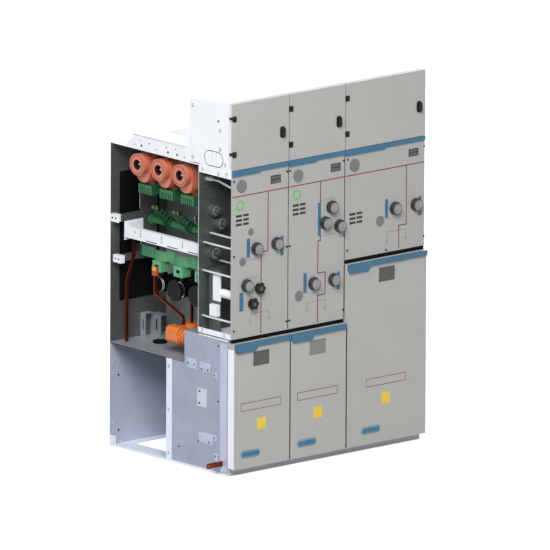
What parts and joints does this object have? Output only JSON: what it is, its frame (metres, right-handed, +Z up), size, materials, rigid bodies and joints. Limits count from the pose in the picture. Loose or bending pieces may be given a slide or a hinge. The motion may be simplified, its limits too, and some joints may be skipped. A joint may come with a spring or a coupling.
{
  "type": "gas insulated switchgear line-up",
  "caption": "Gas-insulated medium-voltage switchgear line-up with its left end open, showing bushings, a rotary knife switch and poles behind grey panels and doors.",
  "frame": {"origin": "bottom centre of the bounding box of the whole line-up, on the floor", "axes": "+X to the right as seen from the front, +Y from the front doors to the rear wall, +Z up"},
  "size_m": [1.555, 1.068, 2.14],
  "materials": {
    "black_plastic": "matt",
    "blue_plastic": "satin",
    "brass": "polished",
    "chamber_grey": "satin",
    "clear_pane": "clear, dark behind",
    "copper": "aged copper",
    "green_plastic": "satin",
    "orange_plastic": "satin",
    "painted_grey": "satin powder coat",
    "painted_white": "satin powder coat",
    "resin": "semi gloss cast resin",
    "silvered": "silver plated",
    "tank_steel": "dull",
    "zinc_bright": "bright",
    "zinc_sheet": "zinc coated, dull"
  },
  "bodies": {
    "cabinet": {"base_frame": "zinc_sheet", "side_panel": "zinc_sheet", "cable_rear_wall": "zinc_sheet", "bay_walls": "zinc_sheet", "earth_bar": "copper", "tank_floor": "tank_steel", "tank_rear_wall": "tank_steel", "tank_front_wall": "tank_steel", "tank_roof": "tank_steel", "tank_bay_wall": "tank_steel", "rear_barrier": "black_plastic", "closed_tanks": "tank_steel", "roof_duct": "painted_white", "pole_cap": "orange_plastic", "busbar_bushings": "resin", "contact_blocks": "green_plastic", "fixed_contacts": "silvered", "cross_beam": "painted_white", "switch_frame": "tank_steel", "rear_lugs": "painted_white", "insulating_cover": "green_plastic", "pole_heads": "green_plastic", "interrupters": "chamber_grey", "copper_bars": "copper", "cable_bushings": "resin", "floor_bracket": "zinc_bright", "mechanism_floor": "painted_white", "mechanism_roof": "painted_white", "drive_rods": "zinc_bright", "drive_unit": "zinc_bright", "drive_blocks": "painted_white", "gauge_pipe": "zinc_bright", "coloured_strips": "blue_plastic", "door_windows": "clear_pane", "pressure_gauges": "chamber_grey", "operating_sockets": "zinc_bright", "star_knobs": "black_plastic", "lv_hinges": "black_plastic", "control_panel_1": "painted_grey", "cable_door_1": "painted_grey", "lv_box_1": "painted_white", "control_panel_2": "painted_grey", "cable_door_2": "painted_grey", "lv_box_2": "painted_white", "control_panel_3": "painted_grey", "cable_door_3": "painted_grey", "lv_box_3": "painted_white"},
    "switch": {"switch_shaft": "green_plastic", "switch_knives": "green_plastic", "knife_tips": "brass"},
    "lv_door_body_1": {"lv_door_1": "painted_grey", "lv_fittings_1": "black_plastic"},
    "lv_handle_body_1": {"lv_handle_1": "black_plastic"},
    "lv_door_body_2": {"lv_door_2": "painted_grey", "lv_fittings_2": "black_plastic"},
    "lv_handle_body_2": {"lv_handle_2": "black_plastic"},
    "lv_door_body_3": {"lv_door_3": "painted_grey", "lv_fittings_3": "black_plastic"},
    "lv_handle_body_3": {"lv_handle_3": "black_plastic"}
  },
  "joints": [
    {"name": "switch_turn", "type": "hinge", "parent": "cabinet", "child": "switch", "pos_m": [-0.4045, 0.127, 1.28], "axis": [0, 1, 0], "range_deg": [-36, 46]},
    {"name": "lv_door_1_hinge", "type": "hinge", "parent": "cabinet", "child": "lv_door_body_1", "pos_m": [-0.6525, -0.501, 1.949], "axis": [0, 0, -1], "range_deg": [0, 110]},
    {"name": "lv_handle_1_turn", "type": "hinge", "parent": "lv_door_body_1", "child": "lv_handle_body_1", "pos_m": [-0.2945, -0.507, 1.932], "axis": [0, -1, 0], "range_deg": [0, 90]},
    {"name": "lv_door_2_hinge", "type": "hinge", "parent": "cabinet", "child": "lv_door_body_2", "pos_m": [-0.2325, -0.501, 1.949], "axis": [0, 0, -1], "range_deg": [0, 110]},
    {"name": "lv_handle_2_turn", "type": "hinge", "parent": "lv_door_body_2", "child": "lv_handle_body_2", "pos_m": [0.1255, -0.507, 1.932], "axis": [0, -1, 0], "range_deg": [0, 90]},
    {"name": "lv_door_3_hinge", "type": "hinge", "parent": "cabinet", "child": "lv_door_body_3", "pos_m": [0.1875, -0.501, 1.949], "axis": [0, 0, -1], "range_deg": [0, 110]},
    {"name": "lv_handle_3_turn", "type": "hinge", "parent": "lv_door_body_3", "child": "lv_handle_body_3", "pos_m": [0.7255, -0.507, 1.932], "axis": [0, -1, 0], "range_deg": [0, 90]}
  ]
}
